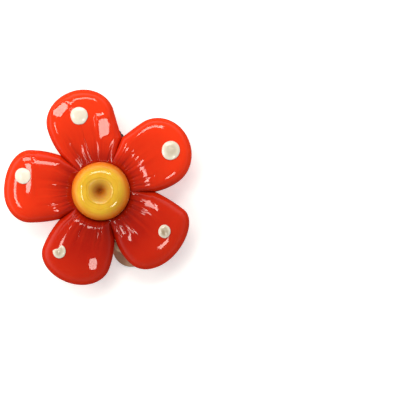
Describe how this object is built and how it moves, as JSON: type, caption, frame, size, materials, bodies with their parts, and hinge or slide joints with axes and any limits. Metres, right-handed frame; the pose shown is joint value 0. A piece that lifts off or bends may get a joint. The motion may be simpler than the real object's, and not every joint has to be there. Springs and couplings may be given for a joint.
{
  "type": "clip on earring",
  "caption": "Flower-shaped glass clip on earring with rounded petals, a dimpled centre bead and dots, on a metal clip whose paddle hinges open to take the ear lobe.",
  "frame": {"origin": "under the middle of the flower's outline, on the surface that the paddle's back lies on", "axes": "+Z out of the flower's face towards the viewer, +Y towards the top petal of the flower as worn, +X to the viewer's right"},
  "size_m": [0.0358, 0.0374, 0.0112],
  "materials": {
    "red_glass": "polished opaque red glass",
    "yellow_glass": "polished translucent yellow glass",
    "cream_glass": "polished opaque cream glass",
    "clip_metal": "worn nickel plating"
  },
  "bodies": {
    "flower_body": {"flower": "red_glass", "centre_bead": "yellow_glass", "dot_upper_right": "cream_glass", "dot_top": "cream_glass", "dot_left": "cream_glass", "dot_bottom": "cream_glass", "dot_lower_right": "cream_glass", "clip_base": "clip_metal", "hinge_pin": "clip_metal"},
    "paddle_body": {"paddle": "clip_metal"}
  },
  "joints": [
    {"name": "paddle_hinge", "type": "hinge", "parent": "flower_body", "child": "paddle_body", "pos_m": [0.00061, 0.00836, 0.0023], "axis": [0.9636, 0.2672, 0], "range_deg": [0, 85]}
  ]
}
